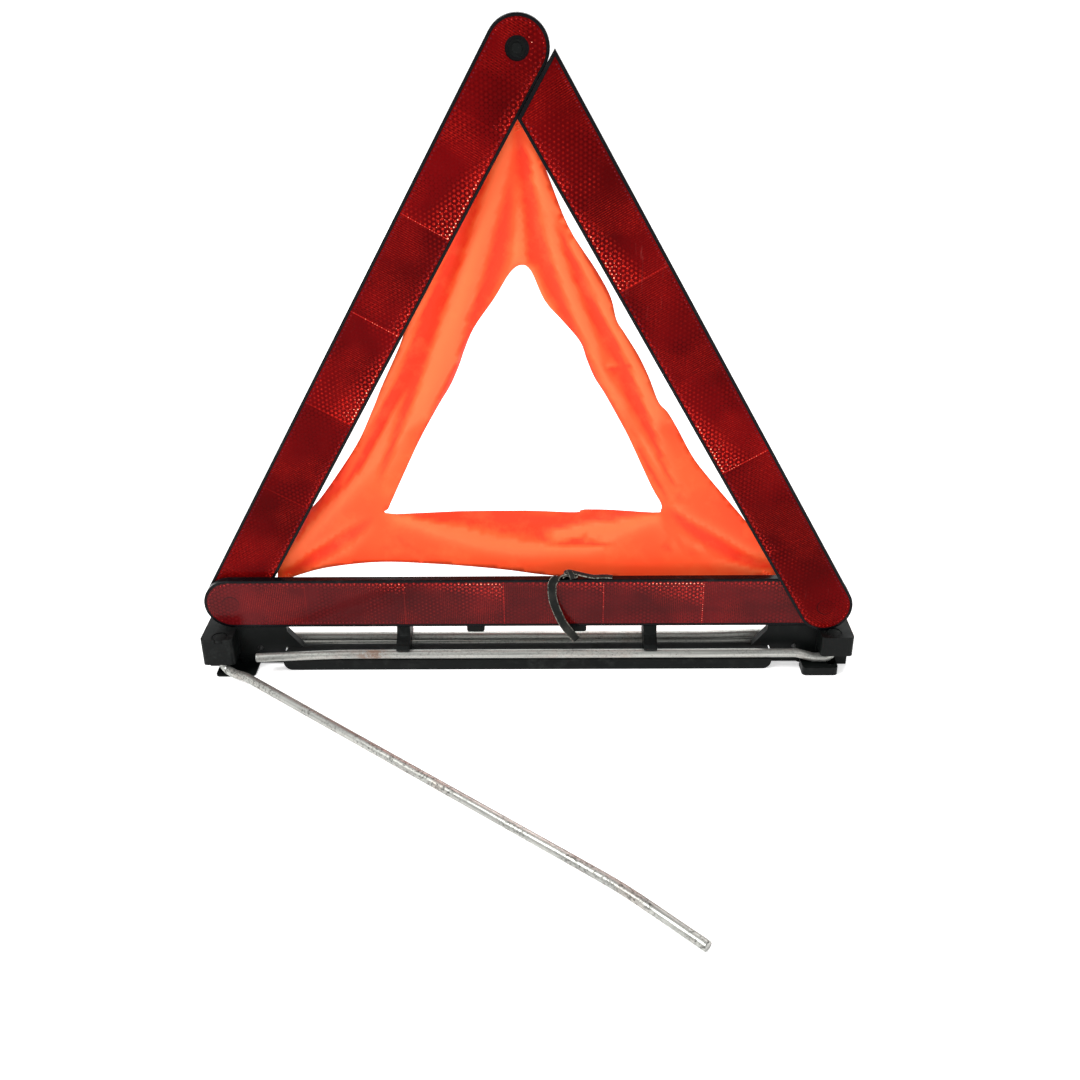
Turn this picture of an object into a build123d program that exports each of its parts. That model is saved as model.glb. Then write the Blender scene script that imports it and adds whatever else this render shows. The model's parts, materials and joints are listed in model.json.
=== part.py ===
"""Folding warning triangle: three reflector arms, a slack warning cloth and a four-legged stand.

Millimetres. +X runs along the bottom arm, +Y points away from the reflecting face, +Z is up.
The origin is on the ground under the middle of the stand. The arms stand erect, the front left leg
is swung out and the other three legs lie stowed along the stand.
"""
from build123d import *
from math import cos, sin, radians, sqrt
import os

# ---- driving dimensions -------------------------------------------------------------------------
SPAN = 400.0            # pivot to pivot, the same on all three arms
ARM_WIDTH = 36.0
ARM_THICKNESS = 6.0
PIVOT_Z = 48.0          # height of the two lower pivots above the ground
LAYER = 6.6             # step from one arm's middle plane to the next where they cross
RIM = 1.8               # width of the housing's rim around a reflector
POCKET = 2.2            # depth of the pocket that holds a reflector
LENS_THICKNESS = 2.0
LENS_GAP = 0.15         # play between a reflector and its rim
PRISM_PITCH = 67.0      # length of one field of prisms
BACK_POCKET = 1.9       # depth of the recesses in a housing's back
RIB = 1.6
BACK_BAYS = 5
FIRST_BAY = 32.5        # start of the first back recess, along the arm from its pivot

RIVET_R = 3.0
RIVET_HEAD_R = 5.5
RIVET_HEAD = 1.2
RUNNING = 0.05          # radial play of everything that turns
STUD_HOLE_R = 6.7       # round window at the top of the left arm
STUD_R = 4.8
TOP_LAP = 0.2           # how far the relieved end of the right arm laps over the left arm's edge

ROD_R = 3.0             # leg wire
LEG_LENGTH = 391.0
LEG_END = 56.0          # length of the bent end
LEG_X = 207.0           # leg pivots, left and right of the middle
LOW_LEG_Y = 14.5        # a low leg lies beside the rail,
LOW_LEG_Z = 7.2
HIGH_LEG_Y = 11.6       # a high leg lies on top of it
HIGH_LEG_Z = 13.5
OPEN_ANGLE = 39.0       # how far the front left leg stands open
PIN_TOP = 28.8          # top of a leg's upright end
CAP_Z = 27.3            # underside of the cap that holds a leg in its socket
CAP_HEIGHT = 2.2
CAP_R = 4.8

RAIL_HALF = 167.0
RAIL_HALF_Y = 10.4
RAIL_TOP = 8.4
NECK_HALF_Y = 3.0
BLOCK_INNER = 198.0
BLOCK_OUTER = 219.5
BLOCK_HALF_Y = 19.0
BLOCK_TOP = 29.7
LOW_CORNER_Z = 9.8      # underside of the bracket over a low leg
HIGH_CORNER_Z = 15.2    # and over a high one
WEB_HALF_Y = 3.0
CLIP_X = 84.0
CLIP_WIDTH = 9.0
LUG_X = 34.7
LUG_HEIGHT = 4.5
SCREW_X = (175.0, 192.0)
SCREW_R = 1.2
SCREW_HEAD_R = 2.4
SCREW_HEAD_Z = 16.0     # underside of a screw's head
SCREW_HEAD = 2.0
SCREW_BITE = 1.5        # how far a screw goes into the bottom arm's rim
WEB_HOLE_X = 183.6

CLOTH_OFFSET = 4.9      # cloth's front, behind the left arm's middle plane
CLOTH_THICKNESS = 0.9
CLOTH_LOW = 8.0         # lower corners, above the pivots
CLOTH_CORNER_X = 170.0
CLOTH_TOP = 314.0
CLOTH_TOP_HALF = 4.0    # half the width of the cut top corner
CLOTH_BOW = 18.0        # rise of the lower edge at its middle
CLOTH_SIDE = (78.0, 158.0)  # middle of a side edge, which sags inwards
HOLE_LOW = 62.0
HOLE_TOP = 214.0
HOLE_HALF = 92.0
HOLE_CORNER_R = 7.0
TIE_WIDTH = 4.0
TIE_END = (201.0, -16.5)    # where a lower tie meets its bracket, from the middle of the pivots' line

STRAP_X = 24.0
STRAP_WIDTH = 6.0
KNOT = (22.0, 6.0, 4.6)     # length, depth and height of the strap's knot, between the two side arms

# ---- derived frame ------------------------------------------------------------------------------
RISE = SPAN * sin(radians(60))
ARM_TOP_Z = PIVOT_Z + ARM_WIDTH / 2
ARM_BOTTOM_Z = PIVOT_Z - ARM_WIDTH / 2      # the bottom arm's two long edges
LEAN = LAYER / 2 / RISE                     # the two side arms lean together towards the top
NORMAL = 1 / sqrt(1 + LEAN * LEAN)
BOTTOM_PIVOT = (-SPAN / 2, 0, PIVOT_Z)
LEFT_PIVOT = (-SPAN / 2, LAYER, PIVOT_Z)
RIGHT_PIVOT = (SPAN / 2, -LAYER, PIVOT_Z)

# Each arm's plane: x along the arm from its pivot, z out of its reflecting face.
bottom_plane = Plane(origin=BOTTOM_PIVOT, x_dir=(1, 0, 0), z_dir=(0, -1, 0))
left_plane = Plane(
    origin=LEFT_PIVOT,
    x_dir=(cos(radians(60)), -LEAN * NORMAL * sin(radians(60)), NORMAL * sin(radians(60))),
    z_dir=(0, -NORMAL, -LEAN * NORMAL),
)
right_plane = Plane(
    origin=RIGHT_PIVOT,
    x_dir=(-cos(radians(60)), LEAN * NORMAL * sin(radians(60)), NORMAL * sin(radians(60))),
    z_dir=(0, -NORMAL, LEAN * NORMAL),
)
HALF_T = ARM_THICKNESS / 2
POCKET_FLOOR = HALF_T - POCKET

os.makedirs("parts", exist_ok=True)


def save(builder, label):
    """Name a finished piece and write it."""
    builder.part.label = label
    export_step(builder.part, f"parts/{label}.step")


def arm_outline(inset, relieved):
    """Arm seen from its face: two round ends, or one where its tip is relieved along the left arm."""
    with Locations((SPAN / 2, 0)):
        SlotCenterToCenter(SPAN, ARM_WIDTH - 2 * inset)
    if relieved:
        # everything past a line along the left arm's lower edge is cut away
        edge_offset = ARM_WIDTH / 2 + inset - TOP_LAP
        left_arm_edge = Location((SPAN, 0, 0), (0, 0, 120)) * Location((0, edge_offset, 0))
        with Locations(left_arm_edge):
            Rectangle(SPAN, 2 * ARM_WIDTH, align=(Align.CENTER, Align.MAX), mode=Mode.SUBTRACT)


def make_housing(plane, label, holes, counterbores, relieved=False, screw_holes=()):
    """Black arm moulding with a front pocket for its reflector and a ribbed back."""
    with BuildPart() as housing:
        with BuildSketch(plane.offset(-HALF_T)):
            arm_outline(0, relieved)
        extrude(amount=ARM_THICKNESS)
        rim_edges = housing.edges().filter_by(GeomType.LINE).filter_by(lambda e: e.length > SPAN / 2)
        fillet(rim_edges, 0.6)
        with BuildSketch(plane.offset(POCKET_FLOOR)):
            arm_outline(RIM, relieved)
        extrude(amount=POCKET, mode=Mode.SUBTRACT)
        with BuildSketch(plane.offset(-HALF_T)):
            for bay in range(BACK_BAYS):
                with Locations((FIRST_BAY + PRISM_PITCH * (bay + 0.5), 0)):
                    RectangleRounded(PRISM_PITCH - RIB, ARM_WIDTH - 2 * RIM - 2, 2.5)
        extrude(amount=BACK_POCKET, mode=Mode.SUBTRACT)
        for along, radius in holes:
            with BuildSketch(plane.offset(-HALF_T)):
                with Locations((along, 0)):
                    Circle(radius)
            extrude(amount=ARM_THICKNESS, mode=Mode.SUBTRACT)
        for along, level, depth in counterbores:
            with BuildSketch(plane.offset(level)):
                with Locations((along, 0)):
                    Circle(RIVET_HEAD_R + 0.3)
            extrude(amount=depth, mode=Mode.SUBTRACT)
        if screw_holes:
            with BuildSketch(Plane.XY.offset(ARM_BOTTOM_Z)):
                with Locations(*screw_holes):
                    Circle(SCREW_R)
            extrude(amount=SCREW_BITE, mode=Mode.SUBTRACT)
    save(housing, label)


def make_reflector(plane, label, holes, relieved=False):
    """Red prismatic plate that fills the housing's front pocket."""
    with BuildPart() as reflector:
        with BuildSketch(plane.offset(POCKET_FLOOR)):
            arm_outline(RIM + LENS_GAP, relieved)
            for along, radius in holes:
                with Locations((along, 0)):
                    Circle(radius, mode=Mode.SUBTRACT)
        extrude(amount=LENS_THICKNESS)
    save(reflector, label)


def make_rivet(plane, label, front, back):
    """Rivet on an arm's pivot: shank between two flat heads, given as levels along the arm's normal."""
    with BuildPart() as rivet:
        with BuildSketch(plane.offset(back)):
            Circle(RIVET_HEAD_R)
        extrude(amount=RIVET_HEAD)
        with BuildSketch(plane.offset(back)):
            Circle(RIVET_R)
        extrude(amount=front - back)
        with BuildSketch(plane.offset(front - RIVET_HEAD)):
            Circle(RIVET_HEAD_R)
        extrude(amount=RIVET_HEAD)
    save(rivet, label)


# ---- the three arms -----------------------------------------------------------------------------
TURN_R = RIVET_R + RUNNING
CLEAR_R = RIVET_R + 0.3
HEAD_SEAT = RIVET_HEAD + 0.15
screw_places = [(side * x, 0) for side in (-1, 1) for x in SCREW_X]
make_housing(
    bottom_plane, "bottom_arm_housing",
    holes=[(0, CLEAR_R), (SPAN, CLEAR_R)],
    counterbores=[(0, POCKET_FLOOR - HEAD_SEAT, HEAD_SEAT), (SPAN, -HALF_T, HEAD_SEAT + 0.1)],
    screw_holes=screw_places,
)
make_reflector(bottom_plane, "bottom_arm_reflector", holes=[(SPAN, CLEAR_R)])
make_housing(left_plane, "left_arm_housing", holes=[(0, TURN_R), (SPAN, STUD_R)], counterbores=[])
make_reflector(left_plane, "left_arm_reflector", holes=[(0, CLEAR_R), (SPAN, STUD_HOLE_R)])
make_housing(
    right_plane, "right_arm_housing",
    holes=[(0, TURN_R)],
    counterbores=[(0, POCKET_FLOOR - HEAD_SEAT, HEAD_SEAT)],
    relieved=True,
)
make_reflector(right_plane, "right_arm_reflector", holes=[], relieved=True)

# The left rivet joins the bottom arm, in front, to the left arm behind it; the right one joins the
# right arm, in front, to the bottom arm.
make_rivet(left_plane, "left_pivot_rivet", front=LAYER + POCKET_FLOOR - 0.1, back=-HALF_T - 0.1 - RIVET_HEAD)
make_rivet(right_plane, "right_pivot_rivet", front=POCKET_FLOOR - 0.1, back=-LAYER - HALF_T + 0.1)

# Snap stud in the round window at the top.
with BuildPart() as top_stud:
    with BuildSketch(left_plane.offset(-HALF_T - RIVET_HEAD)):
        with Locations((SPAN, 0)):
            Circle(STUD_HOLE_R)
    extrude(amount=RIVET_HEAD)
    with BuildSketch(left_plane.offset(-HALF_T)):
        with Locations((SPAN, 0)):
            Circle(STUD_R)
    extrude(amount=ARM_THICKNESS - POCKET)
    with BuildSketch(left_plane.offset(POCKET_FLOOR)):
        with Locations((SPAN, 0)):
            Circle(STUD_R - 2.0)
    extrude(amount=1.1)
save(top_stud, "top_stud")


# ---- stand --------------------------------------------------------------------------------------
with BuildPart() as base_rail:
    with BuildSketch():
        Rectangle(2 * RAIL_HALF, 2 * RAIL_HALF_Y)
    extrude(amount=RAIL_TOP)
    corners = base_rail.edges().filter_by(Axis.Y).group_by(Axis.Z)[0]
    fillet(corners, 6.0)
    fillet(base_rail.edges().filter_by(Axis.X).group_by(Axis.Z)[-1], 0.8)
    with BuildSketch(Plane.XY.offset(1.3)):
        Rectangle(2 * BLOCK_INNER, 2 * NECK_HALF_Y)
    extrude(amount=RAIL_TOP - 2.3)
    # weight-saving pockets from below, with cross ribs between them
    with BuildSketch():
        for side in (-1, 1):
            for middle, length in ((47.5, 70.0), (122.5, 70.0)):
                with Locations((side * middle, 0)):
                    RectangleRounded(length, 2 * RAIL_HALF_Y - 4.4, 3.0)
    extrude(amount=RAIL_TOP - 2.4, mode=Mode.SUBTRACT)
save(base_rail, "base_rail")


def make_bracket(turn, label):
    """End bracket: a socket block for one low and one high leg, and the web under the bottom arm.

    It is drawn as the left one, and the right one is the same moulding turned half round.
    """
    def at(origin, z_dir=(0, 0, 1)):
        """A plane of the bracket, turned with it."""
        c, s = cos(radians(turn)), sin(radians(turn))
        x, y, z = origin
        nx, ny, nz = z_dir
        return Plane(
            origin=(c * x - s * y, s * x + c * y, z),
            x_dir=(c, s, 0),
            z_dir=(c * nx - s * ny, s * nx + c * ny, nz),
        )

    block_middle = -(BLOCK_INNER + BLOCK_OUTER) / 2
    block_length = BLOCK_OUTER - BLOCK_INNER
    with BuildPart() as bracket:
        with BuildSketch(at((block_middle, 0, LOW_CORNER_Z))):
            Rectangle(block_length, 2 * BLOCK_HALF_Y)
        extrude(amount=BLOCK_TOP - LOW_CORNER_Z)
        fillet(bracket.edges().filter_by(Axis.Z), 2.5)
        # the high leg's corner is open further up
        with BuildSketch(at((block_middle, BLOCK_HALF_Y, LOW_CORNER_Z - 1))):
            Rectangle(block_length + 2, BLOCK_HALF_Y - 4.0, align=(Align.CENTER, Align.MAX))
        extrude(amount=HIGH_CORNER_Z - LOW_CORNER_Z + 1, mode=Mode.SUBTRACT)
        # foot under the block, between the legs, and the thin sole under the low leg
        with BuildSketch(at((block_middle - 2, 0, 0))):
            Rectangle(block_length - 4, 2 * 5.0)
        extrude(amount=LOW_CORNER_Z + 0.5)
        with BuildSketch(at((-LEG_X + 8, -LOW_LEG_Y + 6.5, 0))):
            RectangleRounded(27.0, 21.0, 3.0)
        extrude(amount=1.2)
        # pad beside the high leg
        with BuildSketch(at((-LEG_X + 8, 11.5, 0))):
            RectangleRounded(24.0, 15.4, 3.0)
        extrude(amount=6.0)
        # web under the bottom arm, with a slanted end
        with BuildSketch(at((0, WEB_HALF_Y, 0), z_dir=(0, -1, 0))):
            with BuildLine():
                Polyline(
                    (-BLOCK_INNER - 1, ARM_BOTTOM_Z), (-164.0, ARM_BOTTOM_Z), (-164.0, ARM_BOTTOM_Z - 3.5),
                    (-154.0, 14.0), (-166.0, 14.0), (-168.0, RAIL_TOP - 0.8),
                    (-BLOCK_INNER - 1, RAIL_TOP - 0.8),
                    close=True,
                )
            make_face()
        extrude(amount=2 * WEB_HALF_Y)
        # leg sockets, with a seat for the cap
        for leg_y in (-LOW_LEG_Y, HIGH_LEG_Y):
            with BuildSketch(at((-LEG_X, leg_y, 1.5))):
                Circle(ROD_R + RUNNING)
            extrude(amount=BLOCK_TOP, mode=Mode.SUBTRACT)
            with BuildSketch(at((-LEG_X, leg_y, CAP_Z - 0.2))):
                Circle(CAP_R + 0.4)
            extrude(amount=BLOCK_TOP, mode=Mode.SUBTRACT)
        # screws up into the bottom arm
        for screw_x in SCREW_X:
            with BuildSketch(at((-screw_x, 0, RAIL_TOP - 2))):
                Circle(SCREW_HEAD_R + 0.2)
            extrude(amount=SCREW_HEAD_Z + SCREW_HEAD - RAIL_TOP + 2, mode=Mode.SUBTRACT)
            with BuildSketch(at((-screw_x, 0, RAIL_TOP))):
                Circle(SCREW_R + 0.1)
            extrude(amount=BLOCK_TOP, mode=Mode.SUBTRACT)
        # small cross hole in the web
        with BuildSketch(at((-WEB_HOLE_X, WEB_HALF_Y + 1, 13.2), z_dir=(0, -1, 0))):
            Circle(2.2)
        extrude(amount=2 * WEB_HALF_Y + 2, mode=Mode.SUBTRACT)
    save(bracket, label)


make_bracket(0, "left_end_bracket")
make_bracket(180, "right_end_bracket")

# Screws that hold the bottom arm on the two webs: a head below and a shank into the arm's rim.
with BuildPart() as bracket_screws:
    with BuildSketch(Plane.XY.offset(SCREW_HEAD_Z)):
        with Locations(*screw_places):
            Circle(SCREW_HEAD_R)
    extrude(amount=SCREW_HEAD)
    with BuildSketch(Plane.XY.offset(SCREW_HEAD_Z + SCREW_HEAD)):
        with Locations(*screw_places):
            Circle(SCREW_R)
    extrude(amount=ARM_BOTTOM_Z + SCREW_BITE - SCREW_HEAD_Z - SCREW_HEAD)
save(bracket_screws, "bracket_screws")


def make_clip(x, label):
    """Rod clip: a stem between rail and bottom arm, with a finger over each of the two high legs."""
    with BuildPart() as clip:
        with BuildSketch(Plane(origin=(x - CLIP_WIDTH / 2, 0, 0), x_dir=(0, 1, 0), z_dir=(1, 0, 0))):
            with BuildLine():
                Polyline(
                    (-2.4, RAIL_TOP), (-2.4, 16.0), (-8.0, 17.2), (-14.0, 17.2), (-14.6, 18.6), (-13.0, 20.6),
                    (-5.0, 24.0), (-2.6, ARM_BOTTOM_Z), (2.6, ARM_BOTTOM_Z), (5.0, 24.0), (13.0, 20.6),
                    (14.6, 18.6), (14.0, 17.2), (8.0, 17.2), (2.4, 16.0), (2.4, RAIL_TOP),
                    close=True,
                )
            make_face()
        extrude(amount=CLIP_WIDTH)
        finger_tips = clip.edges().filter_by(GeomType.LINE).filter_by(
            lambda e: abs(e.center().Y) > 13.3 and abs(e.center().X - x) > CLIP_WIDTH / 2 - 0.1
        )
        chamfer(finger_tips, 0.5)
    save(clip, label)


make_clip(-CLIP_X, "left_rod_clip")
make_clip(CLIP_X, "right_rod_clip")


def make_lug(x, label):
    """Short rest lug under the bottom arm."""
    with BuildPart() as lug:
        with BuildSketch(Plane.XY.offset(ARM_BOTTOM_Z - LUG_HEIGHT)):
            with Locations((x, 0)):
                Rectangle(12.0, 5.0)
        extrude(amount=LUG_HEIGHT)
        fillet(lug.edges().filter_by(Axis.Y).group_by(Axis.Z)[0], 1.6)
    save(lug, label)


make_lug(-LUG_X, "left_rest_lug")
make_lug(LUG_X, "right_rest_lug")


# ---- legs ---------------------------------------------------------------------------------------
def leg_plane(side_x, y, heading):
    """Plane of a leg: origin on its pivot at ground level, x along the leg."""
    return Plane(
        origin=(side_x * LEG_X, y, 0),
        x_dir=(cos(radians(heading)), sin(radians(heading)), 0),
        z_dir=(0, 0, 1),
    )


def make_leg(plane, label, root_z, run_z, tip_z, tip_bend):
    """Bent wire leg: upright pivot end, a step up to the long run, and a tip bent out for a finger."""
    with BuildPart() as leg:
        with BuildLine(plane) as path:
            FilletPolyline(
                (0, 0, PIN_TOP), (0, 0, root_z), (12, 0, root_z), (24, 0, run_z),
                (LEG_LENGTH - LEG_END, 0, run_z - 0.4 * (run_z - tip_z)), (LEG_LENGTH, tip_bend, tip_z),
                radius=[5.0, 10.0, 10.0, 330.0],
            )
        with BuildSketch(Plane(origin=path.line @ 0, z_dir=path.line % 0)):
            Circle(ROD_R)
        sweep()
        tip = leg.edges().filter_by(GeomType.CIRCLE).sort_by_distance(path.line @ 1)[0]
        fillet(tip, 0.7)
    save(leg, label)


def make_cap(plane, label):
    """Black cap pressed on the top of a leg's upright end, which holds the leg in its socket."""
    with BuildPart() as cap:
        with BuildSketch(plane.offset(CAP_Z)):
            Circle(CAP_R)
        extrude(amount=CAP_HEIGHT)
        with BuildSketch(plane.offset(CAP_Z)):
            Circle(ROD_R)
        extrude(amount=PIN_TOP - CAP_Z, mode=Mode.SUBTRACT)
        fillet(cap.edges().filter_by(GeomType.CIRCLE).group_by(Axis.Z)[-1], 0.4)
    save(cap, label)


LOW_ROOT_Z = 4.6
HIGH_ROOT_Z = 9.9
GROUND_TIP_Z = 3.2
TIP_BEND = 4.0
legs = {
    "front_left": (leg_plane(-1, -LOW_LEG_Y, -OPEN_ANGLE), LOW_ROOT_Z, LOW_LEG_Z, GROUND_TIP_Z, -TIP_BEND),
    "front_right": (leg_plane(1, -HIGH_LEG_Y, 180), HIGH_ROOT_Z, HIGH_LEG_Z, HIGH_LEG_Z, TIP_BEND),
    "rear_left": (leg_plane(-1, HIGH_LEG_Y, 0), HIGH_ROOT_Z, HIGH_LEG_Z, HIGH_LEG_Z, TIP_BEND),
    "rear_right": (leg_plane(1, LOW_LEG_Y, 180), LOW_ROOT_Z, LOW_LEG_Z, GROUND_TIP_Z, -TIP_BEND),
}
for name, (plane, root_z, run_z, tip_z, bend) in legs.items():
    make_leg(plane, f"{name}_leg", root_z, run_z, tip_z, bend)
    make_cap(plane, f"{name}_retaining_cap")


# ---- warning cloth and its ties ----------------------------------------------------------------
cloth_plane = Plane(
    origin=(0, LAYER, PIVOT_Z), x_dir=(1, 0, 0), z_dir=(0, -NORMAL, -LEAN * NORMAL)
).offset(-CLOTH_OFFSET - CLOTH_THICKNESS)
with BuildPart() as warning_cloth:
    with BuildSketch(cloth_plane):
        with BuildLine():
            left_corner, right_corner = (-CLOTH_CORNER_X, CLOTH_LOW), (CLOTH_CORNER_X, CLOTH_LOW)
            side_x, side_z = CLOTH_SIDE
            ThreePointArc(left_corner, (0, CLOTH_LOW + CLOTH_BOW), right_corner)
            ThreePointArc(right_corner, (side_x, side_z), (CLOTH_TOP_HALF, CLOTH_TOP))
            Line((CLOTH_TOP_HALF, CLOTH_TOP), (-CLOTH_TOP_HALF, CLOTH_TOP))
            ThreePointArc((-CLOTH_TOP_HALF, CLOTH_TOP), (-side_x, side_z), left_corner)
        make_face()
        with BuildLine():
            FilletPolyline(
                (-HOLE_HALF, HOLE_LOW), (HOLE_HALF, HOLE_LOW), (0, HOLE_TOP), radius=HOLE_CORNER_R, close=True
            )
        make_face(mode=Mode.SUBTRACT)
    extrude(amount=CLOTH_THICKNESS)
save(warning_cloth, "warning_cloth")


def make_tie(label, plane, start, end):
    """Short tape from a corner of the cloth to its fixing."""
    with BuildPart() as tie:
        with BuildSketch(plane):
            dx, dy = end[0] - start[0], end[1] - start[1]
            length = sqrt(dx * dx + dy * dy)
            middle = ((start[0] + end[0]) / 2, (start[1] + end[1]) / 2, 0)
            angle = Vector(1, 0, 0).get_signed_angle(Vector(dx, dy, 0), Vector(0, 0, 1))
            with Locations(Location(middle, (0, 0, angle))):
                Rectangle(length, TIE_WIDTH)
        extrude(amount=CLOTH_THICKNESS)
    save(tie, label)


tie_x, tie_z = TIE_END
make_tie("cloth_tie_left", cloth_plane, (-CLOTH_CORNER_X - 0.2, CLOTH_LOW), (-tie_x, tie_z))
make_tie("cloth_tie_right", cloth_plane, (CLOTH_CORNER_X + 0.2, CLOTH_LOW), (tie_x, tie_z))
# The top tie lies against the left arm's back, so that the arm folds down in front of the right tie.
arm_back_plane = cloth_plane.offset(CLOTH_OFFSET - HALF_T - 0.05)
make_tie("cloth_tie_top", arm_back_plane, (0, CLOTH_TOP + 0.2), (0, RISE - STUD_HOLE_R - 0.1))


# ---- storage strap ------------------------------------------------------------------------------
with BuildPart() as storage_strap:
    with BuildSketch(Plane(origin=(STRAP_X, 0, 0), x_dir=(0, 1, 0), z_dir=(1, 0, 0))):
        with BuildLine():
            Polyline(
                (-3.3, ARM_TOP_Z + 0.3), (-3.3, ARM_TOP_Z - 2), (-12.0, ARM_TOP_Z - 12),
                (-16.0, PIVOT_Z - 16), (-17.3, PIVOT_Z - 16), (-13.4, ARM_TOP_Z - 11),
                (-5.0, ARM_TOP_Z + 0.3),
                close=True,
            )
        make_face()
    extrude(amount=STRAP_WIDTH)
save(storage_strap, "storage_strap")

with BuildPart() as strap_knot:
    with BuildSketch(Plane.XY.offset(ARM_TOP_Z + 0.4)):
        with Locations((STRAP_X + 8, 0)):
            RectangleRounded(KNOT[0], KNOT[1], 2.5)
    extrude(amount=KNOT[2])
    fillet(strap_knot.edges().group_by(Axis.Z)[-1], 1.5)
save(strap_knot, "strap_knot")
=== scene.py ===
"""Looks of the folding warning triangle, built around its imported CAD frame.

The arms' lenses, housings, the stand and the wire legs keep their CAD shapes and get their materials here.
The prism rows, the slack cloth, the stitches at its corners, the strap and its knot are modelled here.
Everything is in metres, in the frame's axes: +X along the bottom arm, +Y away from the lenses, +Z up.
"""
import json
import math
import random

import bpy
import numpy as np
from mathutils import Matrix, Vector, noise
from mathutils.geometry import delaunay_2d_cdt


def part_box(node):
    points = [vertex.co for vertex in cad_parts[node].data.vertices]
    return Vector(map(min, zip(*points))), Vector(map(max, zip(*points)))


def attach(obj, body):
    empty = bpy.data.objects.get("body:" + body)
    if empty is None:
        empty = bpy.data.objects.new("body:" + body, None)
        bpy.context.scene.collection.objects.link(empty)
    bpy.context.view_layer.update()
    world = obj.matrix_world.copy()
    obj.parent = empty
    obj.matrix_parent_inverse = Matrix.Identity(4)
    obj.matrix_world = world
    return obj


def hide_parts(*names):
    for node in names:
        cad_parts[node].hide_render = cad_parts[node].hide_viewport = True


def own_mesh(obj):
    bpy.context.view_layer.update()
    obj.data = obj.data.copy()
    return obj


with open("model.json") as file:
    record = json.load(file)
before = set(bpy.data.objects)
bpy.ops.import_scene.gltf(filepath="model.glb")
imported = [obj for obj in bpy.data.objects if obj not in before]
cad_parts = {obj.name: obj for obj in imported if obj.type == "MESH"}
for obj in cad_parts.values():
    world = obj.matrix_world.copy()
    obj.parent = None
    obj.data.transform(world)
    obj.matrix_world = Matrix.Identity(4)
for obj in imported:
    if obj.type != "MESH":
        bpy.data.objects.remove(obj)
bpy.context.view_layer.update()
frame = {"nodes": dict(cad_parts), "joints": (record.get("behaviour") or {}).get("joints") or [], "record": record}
nodes = frame["nodes"]
joints = {j["name"]: j for j in frame["joints"]}
MM = 0.001
X_AXIS = Vector((1, 0, 0))


# ---- where the arms are -------------------------------------------------------------------------
class Arm:
    """One reflector arm: its pivot, the directions along and across it, and out of its lens."""

    def __init__(self, name, body, pivot, normal, angle):
        self.name = name
        self.body = body
        self.normal = Vector(normal).normalized()
        self.pivot = Vector(pivot)
        rise = self.normal.cross(X_AXIS)
        turn = math.radians(angle)
        self.along = math.cos(turn) * X_AXIS + math.sin(turn) * rise
        self.across = self.normal.cross(self.along)

    def at(self, u, v, out=0.0):
        """The point u along the arm, v across it and out from its middle plane."""
        return self.pivot + self.along * u + self.across * v + self.normal * out


left_joint, right_joint = joints["left_arm_fold"], joints["right_arm_fold"]
left_pivot, right_pivot = Vector(left_joint["pos_m"]), Vector(right_joint["pos_m"])
SPAN = right_pivot.x - left_pivot.x
bottom_arm = Arm("bottom_arm", "stand", (left_pivot.x, 0, left_pivot.z), (0, -1, 0), 0)
left_arm = Arm("left_arm", "left_arm", left_pivot, -Vector(left_joint["axis"]), 60)
right_arm = Arm("right_arm", "right_arm", right_pivot, -Vector(right_joint["axis"]), 120)
arms = (bottom_arm, left_arm, right_arm)
arm_low, arm_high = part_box("bottom_arm_housing")
ARM_HALF_WIDTH = (arm_high.z - arm_low.z) / 2
lens_low, lens_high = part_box("bottom_arm_reflector")
LENS_FACE = -lens_low.y     # the lens's outer face, out from the middle plane
LENS_HALF_WIDTH = (lens_high.z - lens_low.z) / 2
WINDOW_RADIUS = 8 * MM      # round window for the stud at the top of the left arm
RIVET_RADIUS = 5.6 * MM     # a rivet's head, as it shows through the lens
FIELD = 67 * MM             # length of one field of prisms
FIELD_START = {"bottom_arm": 51 * MM, "left_arm": 21.5 * MM, "right_arm": 54.5 * MM}   # a joint of two fields
INNER = {"bottom_arm": 1, "left_arm": -1, "right_arm": 1}      # side of each arm that faces the cloth
CELL = 2.5 * MM             # pitch of the prisms
HATCH_PITCH = 1.25 * MM     # pitch of the fine lines across a lens
# how brightly each field lights up, from the pivot on, and how clearly each joint of two fields shows
FIELD_GLOW = {
    "bottom_arm": (0.2, 0.5, 0.8, 0.45, 0.95, 0.55, 0.3),
    "left_arm": (0.3, 0.35, 0.3, 0.95, 0.5, 1.0, 0.45),
    "right_arm": (0.35, 0.4, 1.0, 0.25, 0.95, 0.45, 0.3),
}
JOINT_GLOW = {
    "bottom_arm": (0.25, 0.3, 0.6, 0.7, 0.9, 0.5),
    "left_arm": (0.15, 0.2, 0.35, 0.85, 0.8, 0.12),
    "right_arm": (0.15, 0.9, 0.0, 0.5, 0.0, 0.0),
}


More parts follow.
